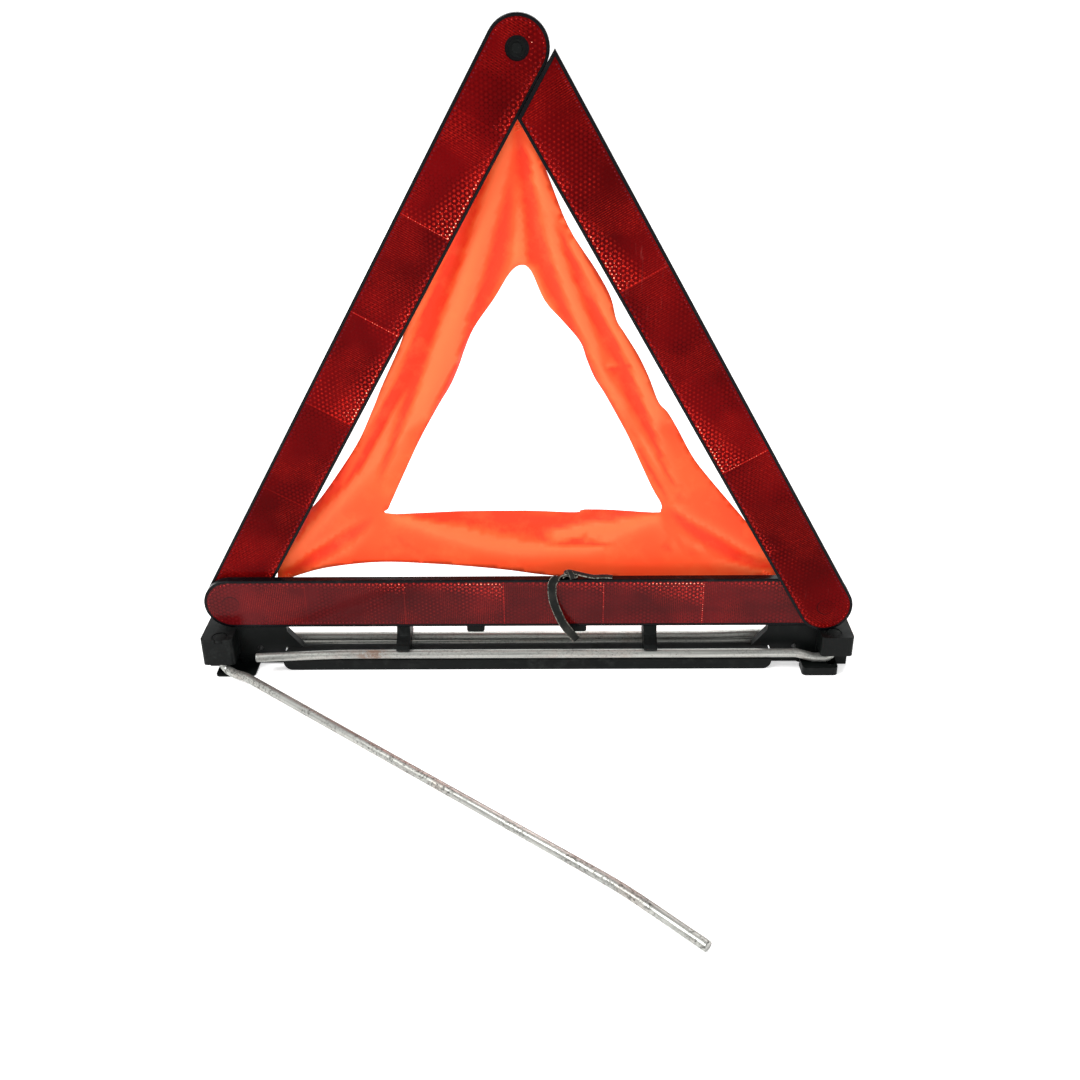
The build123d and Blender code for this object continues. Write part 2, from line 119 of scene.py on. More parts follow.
# ---- material helpers ---------------------------------------------------------------------------
class Shader:
    """A new material's node tree, with short calls for the nodes that all of them use."""

    def __init__(self, name):
        self.material = bpy.data.materials.new(name)
        self.material.use_nodes = True
        self.tree = self.material.node_tree
        self.surface = self.tree.nodes["Principled BSDF"]
        self.place = self.tree.nodes.new("ShaderNodeTexCoord").outputs["Object"]

    def node(self, kind, **settings):
        """A new shader node of a kind, with its settings."""
        made = self.tree.nodes.new("ShaderNode" + kind)
        for key, value in settings.items():
            setattr(made, key, value)
        return made

    def put(self, socket, value):
        """A number, colour or another node's output goes into a socket."""
        if isinstance(value, bpy.types.NodeSocket):
            self.tree.links.new(value, socket)
        else:
            socket.default_value = value

    def set(self, **values):
        """Sets the surface's sockets, whose names are written with _ for a space."""
        for key, value in values.items():
            self.put(self.surface.inputs[key.replace("_", " ")], value)

    def math(self, operation, a, b=0.0, clamp=False):
        """The result of one Math node."""
        made = self.node("Math", operation=operation, use_clamp=clamp)
        self.put(made.inputs[0], a)
        self.put(made.inputs[1], b)
        return made.outputs[0]

    def dot(self, direction, offset=0.0):
        """How far a point lies in a direction, less an offset."""
        made = self.node("VectorMath", operation="DOT_PRODUCT")
        self.put(made.inputs[0], self.place)
        made.inputs[1].default_value = direction
        return self.math("SUBTRACT", made.outputs["Value"], offset)

    def scaled(self, scale):
        """The object's coordinates times a scale for each axis."""
        made = self.node("VectorMath", operation="MULTIPLY")
        self.put(made.inputs[0], self.place)
        made.inputs[1].default_value = scale
        return made.outputs[0]

    def noise(self, scale, detail=3.0, roughness=0.5, vector=None):
        """Cloudy noise from 0 to 1, over the object's coordinates or another vector."""
        made = self.node("TexNoise")
        self.put(made.inputs["Vector"], vector or self.place)
        self.put(made.inputs["Scale"], scale)
        self.put(made.inputs["Detail"], detail)
        self.put(made.inputs["Roughness"], roughness)
        return made.outputs["Fac"]

    def span(self, value, low, high, to_low=0.0, to_high=1.0):
        """Maps low..high to to_low..to_high, clamped."""
        made = self.node("MapRange")
        for socket, number in zip(made.inputs[:5], (value, low, high, to_low, to_high)):
            self.put(socket, number)
        return made.outputs[0]

    def mix(self, share, a, b):
        """Colour a turning to colour b as share goes from 0 to 1."""
        made = self.node("Mix", data_type="RGBA")
        self.put(made.inputs["Factor"], share)
        colours = [s for s in made.inputs if s.type == "RGBA"]
        for socket, value in zip(colours, (a, b)):
            self.put(socket, value if isinstance(value, bpy.types.NodeSocket) else (*value, 1.0))
        return [s for s in made.outputs if s.type == "RGBA"][0]

    def bump(self, height, distance, strength=1.0, normal=None):
        """A normal tilted by a height."""
        made = self.node("Bump")
        self.put(made.inputs["Height"], height)
        self.put(made.inputs["Distance"], distance)
        self.put(made.inputs["Strength"], strength)
        if normal:
            self.put(made.inputs["Normal"], normal)
        return made.outputs[0]

    def rounded(self, radius):
        """A normal that softens sharp edges."""
        made = self.node("Bevel", samples=4)
        self.put(made.inputs["Radius"], radius)
        return made.outputs[0]


def paint(obj, material):
    """The one material of an object."""
    obj.data.materials.clear()
    obj.data.materials.append(material)


# ---- materials ----------------------------------------------------------------------------------
def lens_cells(s, arm):
    """The lattice of hexagonal cells, made by three crossed waves: high at a cell's middle."""
    waves = []
    for turn in (0, 60, 120):
        a = math.radians(turn)
        direction = (arm.along * math.cos(a) + arm.across * math.sin(a)) * (2 * math.pi / CELL)
        waves.append(s.math("COSINE", s.dot(direction)))
    return s.span(s.math("ADD", s.math("ADD", waves[0], waves[1]), waves[2]), -1.5, 3.0)


def field_glow(s, arm, place):
    """How brightly each field lights up. The place counts the fields along the arm."""
    glows = FIELD_GLOW[arm.name]
    glow = glows[0]
    for k in range(1, len(glows)):
        step = s.math("MULTIPLY", s.math("GREATER_THAN", place, k - 1.0), glows[k] - glows[k - 1])
        glow = s.math("ADD", glow, step)
    return glow


def lens_sparkle(s, arm, cells, glow, inside, across, strength):
    """How far the cells light up: in patches, in a wedge by the inner edge, and as fine hatching."""
    patches = s.noise(26.0, 2.0)
    fine = s.span(s.noise(1500.0, 1.0), 0.45, 0.75, 0.2, 1.0)
    sparkle = s.math("MULTIPLY", s.span(cells, 0.4, 0.95), s.span(patches, 0.42, 0.66))
    sparkle = s.math("MULTIPLY", sparkle, s.span(glow, 0.2, 1.0, 0.2, 1.0))
    # the wedge widens towards one end of each field
    end = inside if arm is bottom_arm else s.math("SUBTRACT", 1.0, inside)
    from_edge = s.math("SUBTRACT", LENS_HALF_WIDTH, s.math("MULTIPLY", across, INNER[arm.name]))
    width = s.math("MULTIPLY", end, s.span(glow, 0.3, 1.0, 2 * MM, 19 * MM))
    wedge = s.math("SUBTRACT", width, from_edge)
    wedge = s.math("MULTIPLY", s.span(wedge, -3 * MM, 5 * MM), s.span(cells, 0.3, 0.8))
    fine_lines = s.span(s.math("COSINE", s.dot(arm.along * (2 * math.pi / HATCH_PITCH))), 0.2, 1.0)
    hatch = s.math("MULTIPLY", fine_lines, s.span(s.noise(33.0, 1.0), 0.46, 0.62, 0.0, 0.3))
    sparkle = s.math("MAXIMUM", s.math("MULTIPLY", sparkle, strength), s.math("MULTIPLY", wedge, 0.85))
    return s.math("MULTIPLY", s.math("MAXIMUM", sparkle, hatch), fine)


def over_rivets(s, body, along, across, dark):
    """The lens's colour with both rivets showing faintly through it, each ringed with a dark painted shadow that
    is heavier on one side.
    """
    soft = 0.3 * MM
    for u in (0.0, SPAN):
        reach = s.math("SQRT", s.math("ADD", s.math("POWER", s.math("SUBTRACT", along, u), 2.0),
                                      s.math("POWER", across, 2.0)))
        disc = s.span(reach, RIVET_RADIUS - soft, RIVET_RADIUS + soft, 1.0, 0.0)
        from_rim = s.math("ABSOLUTE", s.math("SUBTRACT", reach, RIVET_RADIUS))
        ring = s.span(from_rim, 0.0, 2 * soft, 1.0, 0.0)
        # painted shadow: dark round the rivet's rim, heavier on one side of it
        rivet_shadow = s.math("MULTIPLY", ring, s.span(across, -2 * MM, 5 * MM, 0.1, 0.9))
        body = s.mix(s.math("MULTIPLY", disc, 0.35), body, dark)
        body = s.mix(rivet_shadow, body, (0.012, 0.002, 0.003))
    return body


def lens_material(arm, tone, strength, gloss):
    """Red acrylic over cube-corner prisms: hexagonal cells in fields that differ in brightness."""
    s = Shader(arm.name + "_lens")
    along = s.dot(arm.along, arm.along.dot(arm.pivot))
    across = s.dot(arm.across, arm.across.dot(arm.pivot))
    cells = lens_cells(s, arm)
    place = s.math("DIVIDE", s.math("SUBTRACT", along, FIELD_START[arm.name]), FIELD)
    glow = field_glow(s, arm, place)
    sparkle = lens_sparkle(s, arm, cells, glow, s.math("FRACT", place), across, strength)
    dark = [c * 0.42 for c in tone]
    bright = (min(1.0, tone[0] * 5.2), 0.022, 0.012)
    gloom = s.math("MULTIPLY", s.span(s.noise(14.0, 3.0), 0.35, 0.7), s.span(glow, 0.2, 1.0, 0.6, 1.0))
    body = s.mix(gloom, dark, tone)
    clouds = s.span(s.noise(41.0, 2.0), 0.42, 0.6, 0.1, 0.75)
    walls = s.math("MULTIPLY", s.span(cells, 0.0, 0.22, 1.0, 0.0), clouds)
    body = s.mix(walls, body, [c * 0.2 for c in tone])
    body = s.mix(sparkle, body, bright)
    for k, shown in enumerate(JOINT_GLOW[arm.name]):
        line = s.math("ABSOLUTE", s.math("SUBTRACT", along, FIELD_START[arm.name] + k * FIELD))
        body = s.mix(s.span(line, 0.1 * MM, 0.4 * MM, shown * 0.4, 0.0), body, bright)
    body = over_rivets(s, body, along, across, dark)
    if arm is bottom_arm:
        smear = s.span(s.noise(1.0, 3.0, 0.5, s.scaled((14.0, 14.0, 60.0))), 0.5, 0.66, 0.0, 0.6)
        body = s.mix(smear, body, dark)
    # rubbed streaks of pale scuffs
    rub = s.scaled((90.0, 90.0, 420.0) if arm is bottom_arm else (420.0, 90.0, 60.0))
    streaks = s.span(s.noise(1.0, 4.0, 0.7, rub), 0.62, 0.8)
    scuffs = s.math("MULTIPLY", streaks, s.span(s.noise(9.0), 0.56, 0.7))
    body = s.mix(s.math("MULTIPLY", scuffs, 0.3), body, (0.5, 0.1, 0.09))
    s.set(Base_Color=body, Roughness=s.span(scuffs, 0.0, 1.0, 0.2, 0.42))
    s.set(Specular_IOR_Level=gloss, Coat_Weight=gloss, Coat_Roughness=0.09)
    s.set(Emission_Color=s.mix(sparkle, (0.0, 0.0, 0.0), (1.0, 0.06, 0.03)), Emission_Strength=0.4)
    s.set(Normal=s.bump(cells, 0.25 * MM, 0.3))
    return s.material


def prism_material():
    """The border prisms and the joints' prisms. Their lit attribute says how far each one lights up."""
    s = Shader("border_prisms")
    lit = s.node("Attribute", attribute_name="lit").outputs["Fac"]
    hot = s.span(lit, 0.4, 0.85)
    colour = s.mix(s.span(lit, 0.1, 0.6), (0.06, 0.004, 0.014), (0.75, 0.03, 0.02))
    s.set(Base_Color=s.mix(hot, colour, (1.0, 0.36, 0.24)))
    s.set(Emission_Color=s.mix(hot, s.mix(lit, (0.0, 0.0, 0.0), (0.8, 0.03, 0.015)), (1.0, 0.36, 0.22)))
    s.set(Emission_Strength=1.0, Roughness=0.18, Specular_IOR_Level=0.1)
    return s.material


def black_plastic(name, colour, worn, low, high, grain):
    """Moulded black plastic with soft wear, dust and fine scratches. Its roughness runs from low to high."""
    s = Shader(name)
    cloudy = s.noise(28.0, 4.0, 0.6)
    wear = s.math("MULTIPLY", s.span(s.noise(120.0, 4.0, 0.7), 0.5, 0.75), s.span(cloudy, 0.45, 0.7))
    dust = s.span(s.noise(700.0, 2.0), 0.66, 0.78, 0.0, 0.35)
    s.set(Base_Color=s.mix(s.math("ADD", wear, dust, clamp=True), colour, worn))
    s.set(Roughness=s.span(cloudy, 0.3, 0.75, low, high), Specular_IOR_Level=0.1)
    scratches = s.noise(1.0, 2.0, 0.6, s.scaled((160.0, 160.0, 1900.0)))
    height = s.math("ADD", s.math("MULTIPLY", scratches, 0.4), s.noise(2600.0, 1.0))
    s.set(Normal=s.bump(height, grain, 0.3, s.rounded(0.35 * MM)))
    return s.material


def wire_material(name, heading=0.0, wear=0.4, rust_at=None):
    """Dull zinc on wire that lies at a heading in degrees: streaks, pits, tints, and rust round rust_at."""
    s = Shader(name)
    a = math.radians(heading)
    line = s.node("CombineXYZ")
    s.put(line.inputs[0], s.dot(Vector((math.cos(a), math.sin(a), 0)) * 14))
    s.put(line.inputs[1], s.dot(Vector((-math.sin(a), math.cos(a), 0)) * 420))
    s.put(line.inputs[2], s.dot(Vector((0, 0, 420))))
    streaks = s.noise(1.0, 3.0, 0.6, line.outputs[0])
    tint = s.noise(45.0, 3.0)
    colour = s.mix(s.span(streaks, 0.3, 0.75), (0.26, 0.265, 0.25), (0.56, 0.57, 0.53))
    colour = s.mix(s.span(tint, 0.55, 0.75, 0.0, 0.4), colour, (0.42, 0.31, 0.26))
    pits = s.span(s.noise(420.0, 3.0, 0.65), 0.62, 0.7)
    pits = s.math("MULTIPLY", pits, s.span(s.noise(30.0), 0.45, 0.62))
    colour = s.mix(s.math("MULTIPLY", pits, 0.85), colour, (0.12, 0.1, 0.08))
    speckles = s.span(s.noise(620.0, 4.0, 0.75), 0.5, 0.6, 0.0, wear)
    speckles = s.math("MULTIPLY", speckles, s.span(tint, 0.35, 0.5))
    colour = s.mix(speckles, colour, (0.09, 0.088, 0.08))
    rust = s.span(s.noise(260.0, 4.0, 0.7), 0.66, 0.78, 0.0, 0.5)
    if rust_at is not None:
        near = s.span(s.math("ABSOLUTE", s.dot(X_AXIS, rust_at)), 3 * MM, 15 * MM, 1.0, 0.0)
        patch = s.math("MULTIPLY", near, s.span(s.noise(230.0, 4.0, 0.7), 0.4, 0.55))
        rust = s.math("MAXIMUM", rust, patch)
    colour = s.mix(rust, colour, (0.2, 0.125, 0.09))
    s.set(Base_Color=colour, Metallic=s.span(s.math("ADD", pits, rust, clamp=True), 0.0, 1.0, 0.72, 0.1))
    s.set(Roughness=s.span(s.math("ADD", tint, pits), 0.3, 1.4, 0.34, 0.62))
    s.set(Normal=s.bump(s.math("SUBTRACT", streaks, pits), 0.12 * MM, 0.5))
    return s.material


THREAD_PITCH = 0.5 * MM     # of the cloth's weave
TAPE_THREAD_PITCH = 0.7 * MM


def cloth_material():
    """Thin coated nylon in fluorescent orange, with a fine plain weave and a faint sheen.

    The attribute that mark_folds stores is 1 on the folds that stand furthest back, which get painted shade; where
    it is low the folds stand forward and get a painted highlight.
    """
    s = Shader("fluorescent_nylon")
    warp = s.math("SINE", s.dot(X_AXIS * (2 * math.pi / THREAD_PITCH)))
    weft = s.math("SINE", s.dot(Vector((0, 0, 2 * math.pi / THREAD_PITCH))))
    weave = s.math("MULTIPLY", warp, weft)
    broad = s.span(s.noise(9.0, 3.0, 0.55), 0.35, 0.68)
    colour = s.mix(broad, (1.0, 0.066, 0.013), (1.0, 0.105, 0.022))
    fold = s.node("Attribute", attribute_name="fold").outputs["Fac"]
    # painted shade: darker, redder colour in the folds that stand back
    colour = s.mix(s.span(fold, 0.5, 1.0, 0.0, 0.9), colour, (0.92, 0.035, 0.008))
    # painted highlight: lighter colour on the folds that stand forward
    colour = s.mix(s.span(fold, 0.45, 0.05, 0.0, 0.8), colour, (1.0, 0.15, 0.045))
    colour = s.mix(s.span(s.noise(60.0, 4.0, 0.6), 0.5, 0.8, 0.0, 0.3), colour, (1.0, 0.19, 0.05))
    grime = s.math("MULTIPLY", s.span(s.noise(150.0, 4.0, 0.7), 0.64, 0.8), s.span(s.noise(14.0), 0.5, 0.7))
    colour = s.mix(s.math("MULTIPLY", grime, 0.35), colour, (0.55, 0.12, 0.06))
    s.set(Base_Color=colour, Roughness=s.span(broad, 0.0, 1.0, 0.46, 0.6))
    # painted glow: the cloth emits its own colour, as a stand-in for the nylon's fluorescence
    s.set(Emission_Color=colour, Emission_Strength=0.18)
    s.set(Sheen_Weight=0.06, Sheen_Roughness=0.5, Specular_IOR_Level=0.2)
    height = s.math("ADD", s.math("MULTIPLY", weave, 0.5), s.math("MULTIPLY", s.noise(75.0, 4.0), 9.0))
    s.set(Normal=s.bump(height, 0.06 * MM, 0.6))
    return s.material


def strap_material():
    """Dark woven tape whose edges have gone pale and frayed. Its edge attribute is 1 at an edge."""
    s = Shader("worn_tape")
    edge = s.node("Attribute", attribute_name="edge").outputs["Fac"]
    threads = s.math("SINE", s.dot(Vector((0, 0.5, 1)) * (2 * math.pi / TAPE_THREAD_PITCH)))
    fray = s.math("MULTIPLY", s.span(edge, 0.72, 0.95), s.span(s.noise(800.0, 3.0, 0.7), 0.42, 0.6))
    body = s.mix(s.span(s.noise(120.0, 4.0), 0.4, 0.7), (0.008, 0.009, 0.008), (0.025, 0.026, 0.023))
    s.set(Base_Color=s.mix(s.math("MULTIPLY", fray, 0.8), body, (0.42, 0.4, 0.34)), Roughness=0.82)
    s.set(Sheen_Weight=0.04, Specular_IOR_Level=0.12, Normal=s.bump(threads, 0.12 * MM, 0.5))
    return s.material


# ---- mesh helpers -------------------------------------------------------------------------------
def add_mesh(name, points, faces, body, material, smooth=True):
    """A new piece from points and faces in the frame, riding on a body."""
    mesh = bpy.data.meshes.new(name)
    mesh.from_pydata([tuple(p) for p in points], [], faces)
    mesh.validate()
    mesh.update()
    if smooth:
        mesh.shade_smooth()
    obj = bpy.data.objects.new(name, mesh)
    bpy.context.scene.collection.objects.link(obj)
    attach(obj, body)
    paint(obj, material)
    return obj


# ---- prism rows on the lenses -------------------------------------------------------------------
PRISM_R = 0.62 * MM
PRISM_SIDES = 6
PRISM_HEIGHT = 0.16 * MM
PRISM_FOOT = 0.05 * MM      # how far a prism reaches into the lens
PRISM_TOP = 0.45            # radius of its top, as a share of its foot's
PRISM_INSET = 1.3 * MM      # the outermost row, in from the lens's edge
ROW_PITCH = CELL * 0.87     # rows of hexagonal cells
JOINT_PITCH = CELL * 0.62   # prisms across a joint of two fields
WINDOW_RING = 8.7 * MM      # radius of the ring of prisms round the window
WINDOW_PRISMS = 18
RELIEF_GAP = 3.2 * MM       # from the left arm's edge to the right arm's lens


def add_prism(points, faces, arm, u, v, size):
    """One small six-sided prism on the lens's face, with its foot just inside the lens."""
    start = len(points)
    radius = PRISM_R * size
    rings = ((radius, LENS_FACE - PRISM_FOOT), (radius * PRISM_TOP, LENS_FACE + PRISM_HEIGHT * size))
    for ring, out in rings:
        for corner in range(PRISM_SIDES):
            a = math.radians(360 / PRISM_SIDES * corner)
            points.append(arm.at(u + ring * math.cos(a), v + ring * math.sin(a), out))
    top = start + PRISM_SIDES
    for corner in range(PRISM_SIDES):
        after = (corner + 1) % PRISM_SIDES
        faces.append((start + corner, start + after, top + after, top + corner))
    faces.append(tuple(top + c for c in range(PRISM_SIDES)))
    faces.append(tuple(start + c for c in reversed(range(PRISM_SIDES))))


def past_relief(u, v):
    """True where the right arm has no lens, because its end is relieved along the left arm."""
    from_left_arm = (left_arm.pivot - right_arm.at(u, v)).dot(left_arm.across)
    return from_left_arm < ARM_HALF_WIDTH + RELIEF_GAP


def edge_prisms(arm, rng, edge):
    """The rows along both edges, and further rows in the wedge that lights up by the inner edge."""
    inner = INNER[arm.name]
    places = []
    for i in range(int(SPAN / CELL) + 1):
        u = i * CELL
        field, inside = divmod((u - FIELD_START[arm.name]) / FIELD, 1.0)
        end = inside if arm is bottom_arm else 1 - inside
        share = FIELD_GLOW[arm.name][int(field) + 1]
        for side in (-1, 1):
            glow = share * (0.2 + 0.9 * end) if side == inner else 0.14
            places.append((u, side * edge, 0.85, glow * rng.uniform(0.45, 1.1)))
        for row in range(1, 6):
            if end * share * 6.2 > row + rng.uniform(-0.4, 0.4):
                shift = CELL / 2 if row % 2 else 0.0
                v = inner * (edge - row * ROW_PITCH)
                places.append((u + shift, v, 0.55, share * end * rng.uniform(0.3, 1.1) / row ** 0.4))
    return places


def prism_places(arm, rng):
    """Each prism of an arm as (along, across, size, how far it lights up)."""
    edge = LENS_HALF_WIDTH - PRISM_INSET
    places = edge_prisms(arm, rng, edge)
    for k, shown in enumerate(JOINT_GLOW[arm.name]):
        if shown > 0.4:
            rows = int(2 * edge / JOINT_PITCH)
            for j in range(rows):
                v = -edge + (j + 0.5) * 2 * edge / rows
                places.append((FIELD_START[arm.name] + k * FIELD, v, 0.5, shown * rng.uniform(0.25, 0.8)))
    # round the ends, and a ring by the window at the top of the left arm
    steps = int(math.pi * edge / CELL)
    for centre, heading in ((0.0, 180), (SPAN, 0)):
        for k in range(1, steps):
            a = math.radians(heading - 90 + 180 * k / steps)
            places.append((centre + edge * math.cos(a), edge * math.sin(a), 0.7, rng.uniform(0.05, 0.4)))
    if arm is left_arm:
        for k in range(WINDOW_PRISMS):
            a = math.radians(360 / WINDOW_PRISMS * k)
            glow = rng.uniform(0.3, 1.0) * (0.25 + 0.75 * max(0.0, math.cos(a - math.radians(-60))))
            places.append((SPAN + WINDOW_RING * math.cos(a), WINDOW_RING * math.sin(a), 0.5, glow))
    return places


def make_prism_rows(arm, material, rng):
    """Rows of border prisms along both edges of a lens, and a row across it where two fields join."""
    points, faces, lit = [], [], []
    for u, v, size, glow in prism_places(arm, rng):
        if arm is right_arm and past_relief(u, v):
            continue
        if arm is bottom_arm and u > SPAN:
            continue
        if arm is left_arm and math.hypot(u - SPAN, v) < WINDOW_RADIUS:
            continue
        add_prism(points, faces, arm, u, v, size)
        lit += [glow] * (2 * PRISM_SIDES)
    name = arm.name + "_prism_rows"
    rows = add_mesh(name, points, faces, arm.body, material, smooth=False)
    values = rows.data.attributes.new("lit", "FLOAT", "POINT")
    values.data.foreach_set("value", lit)
    return rows


# ---- warning cloth ------------------------------------------------------------------------------
cloth_low, cloth_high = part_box("warning_cloth")
CLOTH_THICKNESS = 0.45 * MM
CLOTH_MESH = 3.2 * MM
CLOTH_STEPS = 26            # frames of simulation
CLOTH_CAP = 9 * MM          # how far the simulation may move a point
CLOTH_IN_PLANE = 0.2        # share of that within the cloth's own plane, where the weave hardly gives
CLOTH_HELD = 9 * MM         # how far from a corner the cloth is pinned
CLOTH_FORWARD = 3.2 * MM    # how far the cloth may swell forward, where it has room
FORWARD_ABOVE = 168 * MM    # it has room from this height up, above the folded left arm
FORWARD_EASE = 24 * MM      # height over which the room opens
ARM_EASE = 12 * MM          # distance from an arm over which it opens
CLOTH_TIP = 4 * MM          # half the width of the top corner
GRID_JITTER = 0.3           # mm
FAN_HEIGHT = 2.0 * MM       # of the folds that fan out of a corner
FAN_START, FAN_FADE = 0.05, 0.11    # distances from the corner over which they rise and die away
CREASE_SHARE = 0.75         # of each crease's height below
# creases in mm: from (x, z) to (x, z), with a width and a height, which is + where the crease stands back and -
# where it stands forward
CREASES = (
    (4, 352, 6, 276, 3.4, 3.6), (8, 330, 46, 262, 4.2, -3.4), (16, 300, 56, 222, 4.5, 3.2),
    (52, 250, 88, 178, 4.0, -3.0), (48, 206, 70, 212, 2.0, 2.8), (58, 208, 96, 148, 4.6, 3.4),
    (96, 148, 160, 74, 6.0, 3.2), (78, 132, 128, 92, 5.0, -3.0), (-14, 330, -34, 268, 5.0, -2.4),
    (-20, 316, -64, 226, 5.5, 3.2), (-46, 243, -22, 244, 2.2, 2.6), (-40, 232, -44, 206, 2.2, -2.4),
    (-62, 226, -110, 138, 6.5, 3.0), (-50, 190, -84, 132, 5.0, -2.6), (-110, 132, -156, 76, 6.0, -3.2),
    (-150, 78, -40, 88, 5.5, 2.8), (-60, 80, 60, 84, 4.6, -2.6), (0, 88, 96, 84, 5.0, 3.2),
    (80, 84, 156, 70, 5.0, 3.4), (40, 100, 92, 96, 4.0, -2.0), (-96, 100, -50, 98, 4.0, 2.0),
)


def curve_through(points, steps):
    """A smooth line through some points, as a Catmull-Rom curve, without its last point."""
    line = []
    for i in range(len(points) - 1):
        before = points[max(i - 1, 0)]
        a, b = points[i], points[i + 1]
        after = points[min(i + 2, len(points) - 1)]
        for step in range(steps):
            t = step / steps
            line.append(tuple(
                0.5 * (2 * q + (r - p) * t + (2 * p - 5 * q + 4 * r - w) * t * t
                       + (3 * q - p - 3 * r + w) * t ** 3)
                for p, q, r, w in zip(before, a, b, after)
            ))
    return line


def in_metres(places):
    """Places (x, z) given in mm, in metres."""
    return [(x * MM, z * MM) for x, z in places]


def cloth_outline():
    """The cut's outer edge and its hole, as lists of (x, z) in metres."""
    left, right = (cloth_low.x, cloth_low.z), (cloth_high.x, cloth_low.z)
    bottom_edge = [left] + in_metres([
        (-154, 63), (-133, 69), (-99, 73), (-65, 72), (-38, 70), (-11, 67), (16, 63), (60, 60), (130, 58),
    ]) + [right]
    right_edge = [right] + in_metres([
        (168, 70), (158, 88), (146, 104), (123, 132), (110, 149), (99, 169), (92, 181), (86, 188), (79, 205),
        (72, 219), (63, 233), (58, 241), (54, 255), (45, 271), (28, 297), (14, 332), (9, 342),
    ]) + [(CLOTH_TIP, cloth_high.z)]
    left_edge = [(-CLOTH_TIP, cloth_high.z)] + in_metres([
        (-22, 331), (-56, 266), (-69, 247), (-76, 227), (-89, 200), (-96, 184), (-109, 158), (-134, 122),
        (-147, 107), (-159, 88), (-168, 70),
    ]) + [left]
    outer = curve_through(bottom_edge, 8) + curve_through(right_edge, 5) + curve_through(left_edge, 8)
    hole = in_metres([
        (-91, 113), (-69, 159), (-55, 184), (-46, 198), (-40, 211), (-36, 222), (-30, 235), (-17, 253),
        (-7, 269), (0, 274), (6, 270), (14, 252), (26, 238), (36, 226), (40, 215), (45, 203), (52, 192),
        (63, 172), (69, 160), (83, 129), (90, 116), (90, 111), (85, 109), (40, 109), (34, 107), (0, 108),
        (-86, 109), (-91, 113),
    ])
    return outer, curve_through(hole, 4)


def cloth_depth(z):
    """Middle of the cloth's CAD solid at a height: it leans with the left arm."""
    share = (z - cloth_low.z) / (cloth_high.z - cloth_low.z)
    return (cloth_high.y - CLOTH_THICKNESS) * (1 - share) + (cloth_low.y + CLOTH_THICKNESS) * share


def is_inside(x, z, line):
    """True where a point lies inside a closed line."""
    hit = False
    for (x0, z0), (x1, z1) in zip(line, line[1:] + line[:1]):
        if (z0 > z) != (z1 > z) and x < x0 + (z - z0) / (z1 - z0) * (x1 - x0):
            hit = not hit
    return hit


def flat_cloth():
    """Points (x, z) and triangles of the cut: a close grid of points inside its two outlines."""
    outer, hole = cloth_outline()
    points = [Vector(p) for p in outer + hole]
    n = len(outer)
    edges = [(i, (i + 1) % n) for i in range(n)]
    edges += [(n + i, n + (i + 1) % len(hole)) for i in range(len(hole))]
    rng = random.Random(5)
    border = np.array([tuple(p) for p in points])
    row_height = CLOTH_MESH * math.sqrt(3) / 2
    row = 0
    z = cloth_low.z
    while z < cloth_high.z:
        x = cloth_low.x + (row % 2) * CLOTH_MESH / 2
        while x < cloth_high.x:
            if is_inside(x, z, outer) and not is_inside(x, z, hole):
                if np.hypot(*(border - (x, z)).T).min() > CLOTH_MESH * 0.55:
                    shift_x = rng.uniform(-GRID_JITTER, GRID_JITTER) * MM
                    shift_z = rng.uniform(-GRID_JITTER, GRID_JITTER) * MM
                    points.append(Vector((x + shift_x, z + shift_z)))
            x += CLOTH_MESH
        z += row_height
        row += 1
    made, _, triangles, *_ = delaunay_2d_cdt(points, edges, [], 0, 1e-7)
    kept = []
    for t in triangles:
        cx, cz = (sum(made[i][k] for i in t) / 3 for k in (0, 1))
        if is_inside(cx, cz, outer) and not is_inside(cx, cz, hole):
            kept.append(tuple(t))
    return [tuple(p) for p in made], kept


def fan_depth(x, z, corner, heading, spread, waves):
    """Depth of the folds that fan out of one corner, about a heading. Heading and spread are in degrees."""
    cx, cz = corner
    reach = math.hypot(x - cx, z - cz)
    turn = math.degrees(math.atan2(z - cz, x - cx)) % 360
    off = (turn - heading + 180) % 360 - 180
    swell = min(reach / FAN_START, 1.0) * math.exp(-reach / FAN_FADE)
    beside = math.exp(-(off / spread / 1.6) ** 2)
    return FAN_HEIGHT * swell * math.cos(math.radians(off) * waves) * beside


def crease_depth(x, z, crease):
    """Depth of one crease: a ridge that is sharpest along its line and fades towards both ends."""
    ax, az, bx, bz, width, height = crease
    a, d = Vector((ax, az)) * MM, Vector((bx - ax, bz - az)) * MM
    p = Vector((x, z)) - a
    t = max(0.0, min(1.0, p.dot(d) / d.length_squared))
    away = (p - d * t).length / (width * MM)
    ends = math.sin(math.pi * (0.12 + 0.76 * t))
    return CREASE_SHARE * height * MM * ends * math.exp(-away * math.sqrt(away * away + 0.1))


def fold_depth(x, z):
    """Depth of the slack folds: fans at the three corners, the creases, and crumples of two sizes."""
    depth = 0.0
    depth += fan_depth(x, z, (cloth_low.x, cloth_low.z), 38, 24, 11)
    depth += fan_depth(x, z, (cloth_high.x, cloth_low.z), 142, 22, 13)
    depth += fan_depth(x, z, (0.0, cloth_high.z), 270, 30, 9)
    for crease in CREASES:
        depth += crease_depth(x, z, crease)
    crumple = noise.fractal(Vector((x * 34, 0.3, z * 34)), 0.9, 2.0, 3)
    small = noise.fractal(Vector((x * 90, 4.3, z * 90)), 0.8, 2.0, 2)
    return depth + 0.8 * MM * crumple + 0.15 * MM * small


def room_in_front(x, z):
    """How far the cloth may swell forward: not behind the arms, nor low down, where the left arm folds to."""
    place = Vector((x, 0, z))
    clear = min(INNER[arm.name] * (place - arm.pivot).dot(arm.across) for arm in arms) - ARM_HALF_WIDTH
    return CLOTH_FORWARD * max(0.0, min(1.0, clear / ARM_EASE, (z - FORWARD_ABOVE) / FORWARD_EASE))


